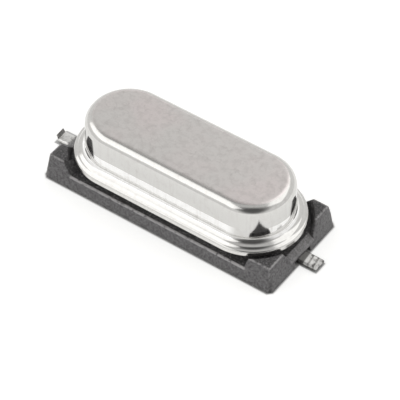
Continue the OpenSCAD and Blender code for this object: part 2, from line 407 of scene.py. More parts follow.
@dataclass(frozen=True)
class BrightCan:
    """Drawn nickel silver: a satin flat top and bright walls, with a highlight band painted paler
    along their foot.

    Each pair that sets where a zone ends holds the distance where it starts to fade in and the
    one where it is at full strength.
    """

    # Heights of the wall's foot and of the flat top
    foot: float
    top: float
    # Zones below the top, as heights from it
    flat_edge: Span = (-0.03, -0.004)
    shoulder_edge: Span = (-0.40, -0.12)
    # The highlight band painted along the wall's foot, as heights from the foot: its top, how soft
    # and how wavy that is, its end on the flare, and the crease along the foot that it spares
    band: float = 0.50
    band_fade: float = 0.02
    band_waver: float = 0.03
    band_end: Span = (-0.13, -0.09)
    crease: float = 0.01
    crease_edge: Span = (0.005, 0.035)
    # X of the middle of the two patches where the painted highlight band gives way, and distances
    # from it
    band_gap: float = 4.05
    band_gap_edge: Span = (0.35, 0.95)
    colour: Colour = (0.640, 0.634, 0.618)
    # Colour of the painted highlight band
    painted_highlight: Colour = (0.955, 0.952, 0.945)
    warm: Colour = (0.755, 0.698, 0.688)
    cool: Colour = (0.718, 0.698, 0.680)
    stain: Colour = (0.50, 0.47, 0.455)
    # Levels between which the flat top goes from cool to warm
    patches: Span = (0.30, 0.70)
    # Wear on the flat top, with half the width of its winding lines, and wear on the walls
    top_lines: Layer = Layer(start=0.40, end=0.56, strength=0.20)
    line_width: float = 0.045
    top_blots: Layer = Layer(start=0.42, end=0.66, strength=0.26)
    top_grain: Layer = Layer(start=0.45, end=0.80, strength=0.22)
    wall_streaks: Layer = Layer(start=0.45, end=0.80, strength=0.26)
    wall_blots: Layer = Layer(start=0.50, end=0.75, strength=0.22)
    wall_grain: Layer = Layer(start=0.60, end=0.80, strength=0.25)
    # Strength of the marks, the small ones' share of it, and the most that stains add up to
    marks: float = 0.6
    small_marks: float = 0.6
    darkest: float = 0.9
    wall_rough: float = 0.105
    shoulder_rough: float = 0.055
    top_rough: float = 0.30
    # How far the roughness swings with the streaks and with the mottling
    streak_rough: float = 0.04
    mottle_rough: float = 0.10
    # Depths of the relief, and how deep a mark goes as a share of the grain's
    waves: float = 0.006
    dents: float = 0.0022
    grain: float = 0.0006
    mark_depth: float = 0.8

    def make(self) -> bpy.types.Material:
        """Builds the material.

        Returns:
            The finished material.
        """
        tree = Finish("can_metal")
        up = tree.axis("Z")
        flat = up.rise(*(self.top + edge for edge in self.flat_edge))
        shoulder = up.rise(*(self.top + edge for edge in self.shoulder_edge))
        mottle = tree.cloud(0.9, detail=3.0, roughness=0.6)
        patch = tree.cloud(0.45, detail=2.0, roughness=0.5, offset=(4.0, 2.0, 0.0))
        winding = tree.cloud(1.9, detail=2.0, roughness=0.55, offset=(1.0, 8.0, 0.0))
        worms = abs(winding - 0.5).rise(self.line_width, 0.0)
        blots = tree.cloud(3.4, detail=2.0, roughness=0.6, offset=(6.0, 1.0, 0.0))
        grain = tree.cloud(17.0, detail=3.0, roughness=0.65)
        streak = tree.cloud(7.0, detail=3.0, roughness=0.6, stretch=(1.0, 1.0, 0.10))
        large_marks = tree.specks(2.3, size=0.075)
        small_marks = tree.specks(5.1, size=0.10, offset=(3.0, 1.0, 7.0))
        marks = large_marks.highest(small_marks * self.small_marks)
        worn_top = (
            worms * self.top_lines.over(mottle)
            + self.top_blots.over(blots)
            + self.top_grain.over(grain)
        )
        worn_wall = (
            self.wall_streaks.over(streak)
            + self.wall_blots.over(blots)
            + self.wall_grain.over(grain)
        )
        tint = flat * worn_top + (1.0 - flat) * worn_wall + marks * self.marks
        base = tree.blend(patch.rise(*self.patches), self.cool, self.warm)
        # The lowest part of the wall and the start of the flare are painted paler as a highlight
        # band, apart from a patch on each side near the right end.
        above = up - self.foot + streak.swing(self.band_waver)
        brightened = above.rise(self.band + self.band_fade, self.band - self.band_fade)
        brightened = brightened * above.rise(*self.band_end)
        brightened = brightened * abs(up - self.foot - self.crease).rise(*self.crease_edge)
        brightened = brightened * abs(tree.axis("X") - self.band_gap).rise(*self.band_gap_edge)
        plain = tree.blend(brightened, self.colour, self.painted_highlight)
        bare = tree.blend(flat, plain, base)
        shade = tree.blend(tint.lowest(self.darkest), bare, self.stain)
        rough = (
            self.wall_rough
            + flat * (self.top_rough - self.wall_rough)
            + streak.swing(self.streak_rough)
            + mottle.swing(self.mottle_rough)
            + (shoulder - flat) * self.shoulder_rough
        )
        waves = tree.relief(tree.cloud(1.1, detail=2.0, roughness=0.5), self.waves)
        dents = tree.relief(blots * shoulder, self.dents, waves)
        fine = tree.relief(grain - marks * self.mark_depth, self.grain, dents)
        return tree.surface(Base_Color=shade, Metallic=1.0, Roughness=rough, Normal=fine)


@dataclass(frozen=True)
class PlainMetal:
    """Plated sheet or wire with a little grain and a few darker clouds."""

    name: str
    colour: Colour
    shadow: Colour
    rough: float
    # Lumps of grain in a millimetre, their depth, and how far the roughness swings with them
    grain: float = 18.0
    depth: float = 0.0008
    uneven: float = 0.12
    clouds: Layer = Layer(start=0.42, end=0.75, strength=0.6)

    def make(self) -> bpy.types.Material:
        """Builds the material.

        Returns:
            The finished material.
        """
        tree = Finish(self.name)
        mottle = tree.cloud(2.6, detail=4.0, roughness=0.6)
        grain = tree.cloud(self.grain, detail=3.0, roughness=0.6)
        shade = tree.blend(self.clouds.over(mottle), self.colour, self.shadow)
        return tree.surface(
            Base_Color=shade,
            Metallic=1.0,
            Roughness=self.rough + grain.swing(self.uneven),
            Normal=tree.relief(grain, self.depth),
        )


@dataclass(frozen=True)
class TinnedLead:
    """Solder-dipped strip with press marks that show on the right lead, its sides darkened with
    painted shade and its root with dirt and painted shade.
    """

    # Thickness of the strip, and X of the base's two ends
    thickness: float
    ends: Span
    # Shares of the thickness between which the sides turn dark with painted shade, and the length
    # of the root that dirt and painted shade darken
    sides: Span = (0.75, 0.35)
    root: Span = (0.26, 0.05)
    # Press marks: from one to the next, how much they wander, and how much they slant
    pitch: float = 0.25
    wander: float = 0.16
    slant: float = 0.12
    # Dirt in the press marks and between the lumps of solder
    mark_dirt: Layer = Layer(start=0.50, end=0.95, strength=0.36)
    lump_dirt: Layer = Layer(start=0.47, end=0.62, strength=0.36)
    # Dirt all over both leads, what the right one has on top of it, dirt and painted shade at the
    # root, and the most that it adds up to
    film: float = 0.08
    handling: float = 0.27
    root_dirt_and_shade: float = 0.75
    darkest: float = 0.97
    colour: Colour = (0.80, 0.795, 0.78)
    dull: Colour = (0.13, 0.127, 0.123)
    # Colour of the painted shade on the sides, and how much of it shows
    under: Colour = (0.07, 0.068, 0.066)
    side_shade: float = 0.85
    # Roughness of the solder, and what dirt adds to it
    rough: float = 0.34
    dirt_rough: float = 0.15
    # Depths of the relief
    pressed: float = 0.006
    grain: float = 0.002

    def make(self) -> bpy.types.Material:
        """Builds the material.

        Returns:
            The finished material.
        """
        tree = Finish("lead_metal")
        lumps = tree.cloud(6.0, detail=3.0, roughness=0.6)
        along = tree.axis("X")
        drift = along + lumps.swing(self.wander) + tree.axis("Y") * self.slant
        bars = (drift * (math.tau / self.pitch)).sine() * 0.5 + 0.5
        # The sides are darkened with painted shade.
        side = tree.axis("Z").rise(*(self.thickness * share for share in self.sides))
        outside = (along - self.ends[1]).highest(self.ends[0] - along)
        root = outside.rise(*self.root)
        # Only the right lead has been handled.
        handled = along.rise(0.0, 1.0)
        spots = self.mark_dirt.over(bars) * handled + self.lump_dirt.over(lumps)
        # The root is darkened by dirt and by painted shade from the base.
        dirt_and_root_shade = handled * self.handling + self.film + spots + root * self.root_dirt_and_shade
        dirt_and_root_shade = dirt_and_root_shade.lowest(self.darkest)
        shade = tree.blend(dirt_and_root_shade, self.colour, self.dull)
        shade = tree.blend(side * self.side_shade, shade, self.under)
        coarse = tree.relief(bars, self.pressed)
        return tree.surface(
            Base_Color=shade,
            Metallic=1.0,
            Roughness=self.rough + dirt_and_root_shade * self.dirt_rough,
            Normal=tree.relief(tree.cloud(24.0, detail=2.0), self.grain, coarse),
        )


@dataclass(frozen=True)
class MouldedBase:
    """Dark mineral-filled plastic, matte and finely pitted, paler where its edges are rubbed and
    painted paler there as edge highlights, with painted light on its outer faces and painted shade
    in the pocket.
    """

    # The base's box, the height of the seat, and how far the sides lean in for each unit of height
    low: Point
    high: Point
    seat: float
    lean: float
    back_lean: float
    # Length of a corner block, length of a lip, height of the two lips' feet, width of a notch
    block: float
    lip_length: float
    lip_feet: Span
    notch: float
    # Distances between which a worn line, which is also a painted edge highlight, fades out: away
    # from an outer face, away from the seat's height, past a block's inner end, and down from the
    # blocks' tops
    edge_line: Span = (0.10, 0.035)
    seat_line: Span = (0.10, 0.045)
    seat_end: Span = (0.12, 0.0)
    top_line: Span = (-0.07, -0.015)
    # Wear and painted edge highlight around the blocks' tops, their shares on the upright corners
    # and on the long sides, and the levels between which the worn, painted-highlight line along
    # the seat grows
    rim_wear_and_highlight: Layer = Layer(start=0.37, end=0.56, strength=0.72)
    corner_share: float = 0.6
    long_share: float = 0.8
    seat_wear_and_highlight: Span = (0.36, 0.50)
    # Distances over which a lip's torn surface fades in: from its inner end, its sides and its
    # foot. Across the unit's middle, one lip's foot gives way to the other's.
    lip_start: Span = (-0.03, 0.02)
    lip_sides: Span = (0.02, -0.03)
    lip_under: Span = (-0.04, 0.01)
    halfway: Span = (0.5, -0.5)
    # How torn a lip is all over, and in the grain
    torn: float = 0.38
    torn_grain: Layer = Layer(start=0.40, end=0.66, strength=0.40)
    # Distance from the outer faces over which their paler colour, which is painted light, fades
    # in. Height above the seat, distance from the outer faces and strength of the painted shade in
    # the pocket
    skin: Span = (-0.06, -0.02)
    hollow_height: Span = (0.06, 0.01)
    hollow_depth: Span = (-0.03, -0.10)
    pocket_shade: float = 0.7
    # Pale filler and dark pits, and how much of the brightened colour wear with its painted edge
    # highlights brings, tearing brings, and both together at most
    filler: Layer = Layer(start=0.46, end=0.70, strength=0.62)
    pits: Layer = Layer(start=0.58, end=0.36, strength=0.62)
    wear_and_highlight_share: float = 0.95
    torn_share: float = 0.55
    palest: float = 0.95
    colour: Colour = (0.062, 0.060, 0.061)
    # Colour of the outer faces, painted lighter to stand in for light from the floor
    faces: Colour = (0.152, 0.148, 0.151)
    # Colour of the painted shade in the pocket and of the dark pits
    shade: Colour = (0.022, 0.021, 0.022)
    pale: Colour = (0.27, 0.262, 0.268)
    # Colour of the worn edges and torn lips, which also paints the edges' highlights
    brightened: Colour = (0.47, 0.46, 0.46)
    # Roughness, and how far it swings with the grit
    rough: float = 0.50
    uneven: float = 0.25
    # Depths of the relief
    chipped: float = 0.010
    pitted: float = 0.006

    def make(self) -> bpy.types.Material:
        """Builds the material.

        Returns:
            The finished material.
        """
        tree = Finish("base_plastic")
        half, side, height = (self.high[0] - self.low[0]) / 2, self.high[1], self.high[2]
        middle = tree.axis("X") - (self.low[0] + self.high[0]) / 2
        x, y, z = abs(middle), abs(tree.axis("Y")), tree.axis("Z")
        # Distances from the outer faces, below 0 inside the base
        face_x = x + z * self.lean - half
        front = z * self.lean - tree.axis("Y") - side
        back = z * self.back_lean + tree.axis("Y") - side
        face_y = front.highest(back)
        grit = tree.cloud(9.0, detail=4.0, roughness=0.65)
        grain = tree.cloud(13.0, detail=3.0, roughness=0.7, offset=(0.0, 5.0, 2.0))
        chips = tree.cloud(5.0, detail=5.0, roughness=0.7)
        # Distance from an outer face and from a height give a line along each edge.
        near_x = abs(face_x).rise(*self.edge_line)
        near_y = abs(face_y).rise(*self.edge_line)
        between_blocks = (x - (half - self.block)).rise(*self.seat_end)
        at_seat = abs(z - self.seat).rise(*self.seat_line) * between_blocks
        at_top = (z - height).rise(*self.top_line)
        # The worn lines along the edges are also painted edge highlights.
        corner = near_x * near_y * self.corner_share
        rim = (at_top * near_x.highest(near_y * self.long_share)).highest(corner)
        rim = rim * self.rim_wear_and_highlight.over(chips)
        wear_and_highlight = rim.highest(at_seat * near_y * chips.rise(*self.seat_wear_and_highlight))
        left, right = self.lip_feet
        foot = right + middle.rise(*self.halfway) * (left - right)
        lip = (
            (x - (half - self.lip_length)).rise(*self.lip_start)
            * (y - self.notch / 2).rise(*self.lip_sides)
            * (z - foot).rise(*self.lip_under)
        )
        torn = lip * (self.torn + self.torn_grain.over(grain))
        # The outer faces are painted paler as light from the floor, and the pocket is darkened
        # with painted shade.
        skin = face_x.highest(face_y)
        outer = skin.rise(*self.skin)
        pocket_shade = (z - self.seat).rise(*self.hollow_height) * skin.rise(*self.hollow_depth)
        plain = tree.blend(outer, self.colour, self.faces)
        plain = tree.blend(pocket_shade * (1.0 - lip) * self.pocket_shade, plain, self.shade)
        plain = tree.blend(self.filler.over(grain), plain, self.pale)
        plain = tree.blend(self.pits.over(grit), plain, self.shade)
        brightening = (wear_and_highlight * self.wear_and_highlight_share + torn * self.torn_share).lowest(self.palest)
        coarse = tree.relief(chips, self.chipped)
        return tree.surface(
            Base_Color=tree.blend(brightening, plain, self.brightened),
            Roughness=self.rough + grit.swing(self.uneven),
            Normal=tree.relief(grit, self.pitted, coarse),
        )


@dataclass(frozen=True)
class SealGlass:
    """Fused glass around a wire, dark green and faintly bubbled."""

    colour: Colour = (0.055, 0.085, 0.075)
    cloudy: Colour = (0.10, 0.14, 0.12)
    # Colour of a bubble, how much of it shows, and the roughness that it adds
    bubble: Colour = (0.25, 0.30, 0.28)
    bubble_tint: float = 0.5
    bubble_rough: float = 0.2
    rough: float = 0.10
    depth: float = 0.01
    coat: float = 0.5

    def make(self) -> bpy.types.Material:
        """Builds the material.

        Returns:
            The finished material.
        """
        tree = Finish("seal_glass")
        bubbles = tree.specks(9.0, size=0.3)
        shade = tree.blend(tree.cloud(3.0, detail=3.0), self.colour, self.cloudy)
        return tree.surface(
            Base_Color=tree.blend(bubbles * self.bubble_tint, shade, self.bubble),
            Roughness=self.rough + bubbles * self.bubble_rough,
            Normal=tree.relief(tree.cloud(2.0), self.depth),
            Coat_Weight=self.coat,
        )


@dataclass(frozen=True)
class QuartzBlank:
    """Lapped and etched quartz, clear with a frosted skin."""

    colour: Colour = (0.88, 0.91, 0.91)
    frosted: Colour = (0.80, 0.85, 0.86)
    # Roughness, and how far it swings with the frost
    rough: float = 0.22
    uneven: float = 0.25
    clear: float = 0.75
    index: float = 1.54
    depth: float = 0.0015

    def make(self) -> bpy.types.Material:
        """Builds the material.

        Returns:
            The finished material.
        """
        tree = Finish("quartz")
        frost = tree.cloud(14.0, detail=4.0, roughness=0.7)
        return tree.surface(
            Base_Color=tree.blend(frost, self.colour, self.frosted),
            Roughness=self.rough + frost.swing(self.uneven),
            Transmission_Weight=self.clear,
            IOR=self.index,
            Normal=tree.relief(frost, self.depth),
        )


@dataclass(frozen=True)
class SilverCement:
    """Silver-loaded adhesive, matte and lumpy."""

    colour: Colour = (0.42, 0.41, 0.39)
    flake: Colour = (0.62, 0.61, 0.58)
    # Levels between which a flake shows
    flake_edge: Span = (0.4, 0.7)
    metal: float = 0.55
    # Roughness, and how far it swings with the flakes
    rough: float = 0.62
    uneven: float = 0.3
    depth: float = 0.012

    def make(self) -> bpy.types.Material:
        """Builds the material.

        Returns:
            The finished material.
        """
        tree = Finish("cement")
        flakes = tree.cloud(22.0, detail=4.0, roughness=0.7)
        return tree.surface(
            Base_Color=tree.blend(flakes.rise(*self.flake_edge), self.colour, self.flake),
            Metallic=self.metal,
            Roughness=self.rough + flakes.swing(self.uneven),
            Normal=tree.relief(flakes, self.depth),
        )


# ---------------------------------------------------------------------------------------------
# Modelling
# ---------------------------------------------------------------------------------------------


class Bench:
    """The modelling moves that the pieces share. Work on it is in millimetres."""

    # Sides of a round post, and the turns in degrees from which an edge can be rounded and below
    # which two faces are one
    SIDES = 96
    EDGE_TURN = 24.0
    FLAT_TURN = 0.5
    # Least part of a face's normal that points along an axis, for a face that looks that way
    FACING = 0.9

    @staticmethod
    def clear() -> None:
        """Goes back to object mode with nothing selected."""
        if bpy.context.object is not None and bpy.context.object.mode != "OBJECT":
            bpy.ops.object.mode_set(mode="OBJECT")
        bpy.ops.object.select_all(action="DESELECT")

    @classmethod
    def take(cls, piece: bpy.types.Object) -> None:
        """Makes one object the only selected one, and active.

        Args:
            piece: The object.
        """
        cls.clear()
        piece.select_set(True)
        bpy.context.view_layer.objects.active = piece

    @classmethod
    def open(cls, piece: bpy.types.Object) -> None:
        """Opens one object in edit mode with all of it selected.

        Args:
            piece: The object.
        """
        cls.take(piece)
        bpy.ops.object.mode_set(mode="EDIT")
        bpy.ops.mesh.select_all(action="SELECT")

    @staticmethod
    def start(name: str) -> bpy.types.Object:
        """Names the primitive that was just added and opens it with all of it selected.

        Args:
            name: Name of the object and its mesh.

        Returns:
            The object.
        """
        piece = bpy.context.object
        piece.name = piece.data.name = name
        bpy.ops.object.mode_set(mode="EDIT")
        bpy.ops.mesh.select_all(action="SELECT")
        return piece

    @classmethod
    def block(cls, name: str, low: Point, high: Point) -> bpy.types.Object:
        """A box between two corners, open in edit mode with all of it selected.

        Args:
            name: Name of the object.
            low: Lowest corner.
            high: Highest corner.

        Returns:
            The object, whose origin is the frame's.
        """
        cls.clear()
        bpy.ops.mesh.primitive_cube_add(size=1.0, location=(0.0, 0.0, 0.0))
        piece = cls.start(name)
        size = tuple(b - a for a, b in zip(low, high))
        bpy.ops.transform.resize(value=size, center_override=(0.0, 0.0, 0.0))
        bpy.ops.transform.translate(value=tuple((a + b) / 2 for a, b in zip(low, high)))
        return piece

    @classmethod
    def post(
        cls, name: str, centre: Point, radius: float, rise: float, top: "float | None" = None
    ) -> bpy.types.Object:
        """A round post or cone that stands on a point.

        Args:
            name: Name of the object.
            centre: Middle of its foot.
            radius: Radius at the foot.
            rise: Height.
            top: Radius at the top, the same as the foot's if left out.

        Returns:
            The object, in object mode, whose origin is the frame's.
        """
        cls.clear()
        bpy.ops.mesh.primitive_cone_add(
            vertices=cls.SIDES,
            radius1=radius,
            radius2=radius if top is None else top,
            depth=rise,
            location=(0.0, 0.0, 0.0),
        )
        piece = cls.start(name)
        x, y, z = centre
        bpy.ops.transform.translate(value=(x, y, z + rise / 2))
        cls.clear()
        return piece

    @staticmethod
    def pick(test: Callable[[MeshPart], bool], kind: str) -> None:
        """Selects parts of the open mesh, and nothing else.

        Args:
            test: Says whether a vertex, edge or face is wanted.
            kind: "VERT", "EDGE" or "FACE".
        """
        mesh = bpy.context.object.data
        bpy.ops.mesh.select_mode(type=kind)
        bpy.ops.mesh.select_all(action="DESELECT")
        edit = bmesh.from_edit_mesh(mesh)
        parts = {"VERT": edit.verts, "EDGE": edit.edges, "FACE": edit.faces}[kind]
        for part in [part for part in parts if test(part)]:
            part.select_set(True)
        edit.select_flush_mode()
        bmesh.update_edit_mesh(mesh)

    @classmethod
    def stands_out(cls, edge: bmesh.types.BMEdge) -> bool:
        """Whether an edge of a solid points outwards and is sharp enough to be rounded."""
        sharp = edge.is_manifold and edge.is_convex
        return sharp and edge.calc_face_angle(0.0) > math.radians(cls.EDGE_TURN)

    @staticmethod
    def round_edges(width: float, segments: int, held: bool = True) -> None:
        """Bevels the selected edges.

        Args:
            width: How far the bevel reaches from an edge.
            segments: Faces across it.
            held: True keeps it from running past the next edge.
        """
        bpy.ops.mesh.bevel(
            offset=width, segments=segments, profile=0.5, affect="EDGES", clamp_overlap=held
        )

    @staticmethod
    def draw_out(move: Point) -> None:
        """Extrudes what is selected and moves it."""
        bpy.ops.mesh.extrude_region_move(TRANSFORM_OT_translate={"value": move})

    @staticmethod
    def trim(point: Point, away: "Vector | Point") -> None:
        """Cuts the open solid along a plane and closes it there.

        Args:
            point: A point on the plane.
            away: Direction that the plane faces, on the side that is cut off.
        """
        bpy.ops.mesh.select_mode(type="VERT")
        bpy.ops.mesh.select_all(action="SELECT")
        bpy.ops.mesh.bisect(
            plane_co=point, plane_no=away, use_fill=True, clear_outer=True, threshold=CLOSE
        )

    @staticmethod
    def merge(reach: float = DOUBLES) -> None:
        """Merges the open mesh's vertices that lie together, and leaves all of it selected.

        Args:
            reach: How near they lie, in millimetres.
        """
        bpy.ops.mesh.select_all(action="SELECT")
        bpy.ops.mesh.remove_doubles(threshold=reach)
        bpy.ops.mesh.select_all(action="SELECT")

    @classmethod
    def cut(
        cls, piece: bpy.types.Object, cutter: bpy.types.Object, operation: str = "DIFFERENCE"
    ) -> None:
        """Cuts one solid with another, or joins them, and throws the second away.

        Args:
            piece: The solid that stays.
            cutter: The solid that is used up.
            operation: "DIFFERENCE" or "UNION".
        """
        cls.take(piece)
        tool = piece.modifiers.new("cut", "BOOLEAN")
        tool.operation = operation
        tool.solver = "EXACT"
        tool.object = cutter
        bpy.ops.object.modifier_apply(modifier=tool.name)
        mesh = cutter.data
        bpy.data.objects.remove(cutter)
        bpy.data.meshes.remove(mesh)

    @classmethod
    def seal(cls, piece: bpy.types.Object, crisp: float) -> None:
        """Turns all faces outwards, shades the piece and brings it to metres.

        Args:
            piece: The object, with its origin at the frame's.
            crisp: Edges that turn by more than this, in degrees, stay sharp in the shading.
        """
        cls.open(piece)
        bpy.ops.mesh.select_mode(type="VERT")
        cls.merge()
        bpy.ops.mesh.normals_make_consistent(inside=False)
        cls.take(piece)
        piece.scale = (MM, MM, MM)
        bpy.ops.object.transform_apply(location=True, rotation=True, scale=True)
        bpy.ops.object.shade_smooth_by_angle(angle=math.radians(crisp))


@dataclass
class LongOval:
    """Sweeps a section around a long oval with round ends."""

    # X of the middle of the round ends, and the steps around each of them
    reach: float
    steps: int = 64

    def sweep(self, name: str, section: Profile) -> bpy.types.Object:
        """Draws the section at one end and carries it once around.

        Args:
            name: Name of the object.
            section: (distance from the middle line, height) points of an open line.

        Returns:
            The swept skin, open in edit mode, with its doubles merged.
        """
        Bench.clear()
        bpy.ops.mesh.primitive_plane_add(size=0.1, location=(0.0, 0.0, 0.0))
        piece = Bench.start(name)
        bpy.ops.mesh.merge(type="CENTER")
        out, up = section[0]
        bpy.ops.transform.translate(value=(self.reach, -out, up))
        for (out, up), (next_out, next_up) in zip(section, section[1:]):
            step = (0.0, out - next_out, next_up - up)
            bpy.ops.mesh.extrude_vertices_move(TRANSFORM_OT_translate={"value": step})
        bpy.ops.mesh.select_mode(type="EDGE")
        bpy.ops.mesh.select_all(action="SELECT")
        for centre in (self.reach, -self.reach):
            bpy.ops.mesh.spin(
                steps=self.steps, angle=math.pi, center=(centre, 0.0, 0.0), axis=(0.0, 0.0, -1.0)
            )
            Bench.draw_out((-2 * centre, 0.0, 0.0))
        Bench.merge()
        return piece

    @staticmethod
    def cap(height: float) -> None:
        """Closes the open rim at a height with one flat face.

        Args:
            height: The height.
        """
        Bench.pick(
            lambda edge: edge.is_boundary
            and all(abs(vert.co.z - height) < CLOSE for vert in edge.verts),
            "EDGE",
        )
        bpy.ops.mesh.edge_face_add()


def arc(centre: Span, radius: float, start: float, end: float, steps: int) -> Profile:
    """Points along an arc of a section.

    Args:
        centre: Its centre.
        radius: Its radius.
        start: Angle of the first point, in degrees.
        end: Angle of the last point.
        steps: How many straight runs it has.

    Returns:
        steps + 1 points.
    """
    angles = [math.radians(start + (end - start) * i / steps) for i in range(steps + 1)]
    return [(centre[0] + radius * math.cos(a), centre[1] + radius * math.sin(a)) for a in angles]


def millimetres(node: str) -> tuple[Vector, Vector]:
    """Lowest and highest corner of a CAD node, in millimetres."""
    low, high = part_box(node)
    return low / MM, high / MM


def paint(piece: bpy.types.Object, material: bpy.types.Material) -> None:
    """Gives a whole object one material.

    Args:
        piece: The object.
        material: What goes into all of its slots.
    """
    if piece.material_slots:
        for slot in piece.material_slots:
            slot.material = material
    else:
        piece.data.materials.append(material)


# ---------------------------------------------------------------------------------------------
# Pieces
# ---------------------------------------------------------------------------------------------


@dataclass(frozen=True)
class Bend:
    """One arc of the can's pressed flare, with its slopes in degrees below level."""

    radius: float
    start: float
    end: float
    steps: int


@dataclass
class MetalCan:
    """The drawn can with its flange, a closed skin."""

    body_length: float = 9.85
    body_width: float = 3.68
    wall: float = 0.15
    # Radius of the shoulder, and the straight runs that it and the arc inside are made of
    edge: float = 0.44
    edge_steps: int = 18
    inner_steps: int = 8
    # Thickness of the flange, how far the wall widens on its way down, height of the flare
    flange: float = 0.12
    draft: float = 0.04
    flare_top: float = 0.255
    bends: tuple[Bend, ...] = (
        Bend(radius=0.39, start=65.0, end=23.0, steps=12),
        Bend(radius=0.17, start=23.0, end=47.0, steps=6),
        Bend(radius=0.30, start=47.0, end=22.0, steps=8),
        Bend(radius=0.07, start=22.0, end=90.0, steps=6),
    )
    # Width of the narrow faces that keep the shading of flat and curved faces apart
    hold: float = 0.012
    crisp: float = 40.0
    piece: bpy.types.Object = field(init=False)

    def _flare(self, shelf: float) -> Profile:
        """The pressed run from the wall's foot outwards: a hollow, a ridge, a groove and the rim.

        Args:
            shelf: Height of the flange's upper face.

        Returns:
            Points from the step under the wall to the outer face.
        """
        x, z = self.body_width / 2 + self.draft, shelf + self.flare_top
        line: Profile = [(x, z)]
        for bend in self.bends:
            turn = 270.0 if bend.start > bend.end else 90.0
            a = math.radians(turn - bend.start)
            hub = (x - bend.radius * math.cos(a), z - bend.radius * math.sin(a))
            line += arc(hub, bend.radius, turn - bend.start, turn - bend.end, bend.steps)[1:]
            x, z = line[-1]
        return line

    def section(self) -> tuple[Profile, float, float]:
        """Works out the section from the flat top, down the outside and up the inside.

        Returns:
            The section, the height of the top and the height of the ceiling inside.
        """
        low, high = millimetres("metal_can")
        side, foot, top = self.body_width / 2, low.z, high.z
        flare = self._flare(foot + self.flange)
        low_side, step = flare[0]
        line: Profile = [(side - self.edge - self.hold * 3, top)]
        line += arc((side - self.edge, top - self.edge), self.edge, 90.0, 0.0, self.edge_steps)
        line += [(side, top - self.edge - self.hold), (low_side, step + self.hold), *flare]
        inner, bend = side - self.wall, self.edge - self.wall
        line += [(flare[-1][0], foot), (inner, foot)]
        ceiling = top - self.wall
        line += arc((inner - bend, ceiling - bend), bend, 0.0, 90.0, self.inner_steps)
        return line, top, ceiling

    def build(self) -> None:
        """Models the can."""
        line, top, ceiling = self.section()
        oval = LongOval((self.body_length - self.body_width) / 2)
        self.piece = oval.sweep("can_shell", line)
        oval.cap(top)
        oval.cap(ceiling)
        self._lengthen_flange(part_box("metal_can")[1].x / MM)
        Bench.seal(self.piece, self.crisp)
        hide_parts("metal_can")

    def _lengthen_flange(self, end: float) -> None:
        """Widens the flare at both ends, ring by ring, until the rim is where the flange ends.

        Args:
            end: X of the flange's end.
        """
        start = (self.body_length - self.body_width) / 2
        rings = self._flare(0.0)
        step = (end - start - rings[-1][0]) / len(rings)
        for side in Side:
            for reach, _ in reversed(rings):
                Bench.pick(
                    lambda vert: side.value * vert.co.x > start - CLOSE
                    and math.hypot(abs(vert.co.x) - start, vert.co.y) > reach - CLOSE,
                    "VERT",
                )
                bpy.ops.transform.translate(value=(side.value * step, 0.0, 0.0))

    def dress(self) -> None:
        """Gives the can its finish and its place on the unit."""
        low, high = millimetres("metal_can")
        foot = low.z + self.flange + self.flare_top
        paint(self.piece, BrightCan(foot=foot, top=high.z).make())
        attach(self.piece, "root")


@dataclass
class HeaderPlate:
    """The stamped header under the can, with a round hole for each glass seal."""

    # The raised step inside the can: half its width, and X of the middle of its round ends
    step: float = 1.64
    step_reach: float = 3.085
    # Half the width of the foot that stands on the base, thickness of the flange above it
    foot: float = 1.94
    flange: float = 0.2
    # Radius of the rim's lower edge, its straight runs, and the narrow face beside it
    rim: float = 0.05
    rim_steps: int = 5
    hold: float = 0.012
    # How far the cutters for the holes stick out, above and below
    spare: float = 0.5
    crisp: float = 40.0
    finish: PlainMetal = PlainMetal(
        "header_metal", colour=(0.76, 0.75, 0.73), shadow=(0.58, 0.56, 0.54), rough=0.22
    )
    piece: bpy.types.Object = field(init=False)

    def build(self) -> None:
        """Models the header."""
        low, high = millimetres("header")
        shelf = millimetres("metal_can")[0].z
        under = shelf - self.flange
        out = high.y
        line: Profile = [(self.step, high.z), (self.step, shelf), (out, shelf)]
        line += arc((out - self.rim, under + self.rim), self.rim, 0.0, -90.0, self.rim_steps)
        line += [(out - self.rim - self.hold, under), (self.foot, under), (self.foot, low.z)]
        reach = high.x - out
        oval = LongOval(reach)
        self.piece = oval.sweep("header_plate", line)
        oval.cap(high.z)
        oval.cap(low.z)
        # The step follows the can's inside, whose round ends sit a little nearer the middle.
        for side in Side:
            Bench.pick(
                lambda vert: side.value * vert.co.x > reach - CLOSE
                and math.hypot(abs(vert.co.x) - reach, vert.co.y) < self.step + 10 * CLOSE,
                "VERT",
            )
            bpy.ops.transform.translate(value=(side.value * (self.step_reach - reach), 0.0, 0.0))
        Bench.pick(lambda face: True, "FACE")
        bpy.ops.mesh.normals_make_consistent(inside=False)
        for side in Side:
            a, b = millimetres(f"glass_seal_{side.word}")
            centre = ((a.x + b.x) / 2, 0.0, low.z - self.spare)
            rise = high.z - low.z + 2 * self.spare
            Bench.cut(self.piece, Bench.post("hole", centre, (b.x - a.x) / 2, rise))
        Bench.seal(self.piece, self.crisp)
        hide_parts("header")

    def dress(self) -> None:
        """Gives the header its finish and its place on the unit."""
        paint(self.piece, self.finish.make())
        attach(self.piece, "root")


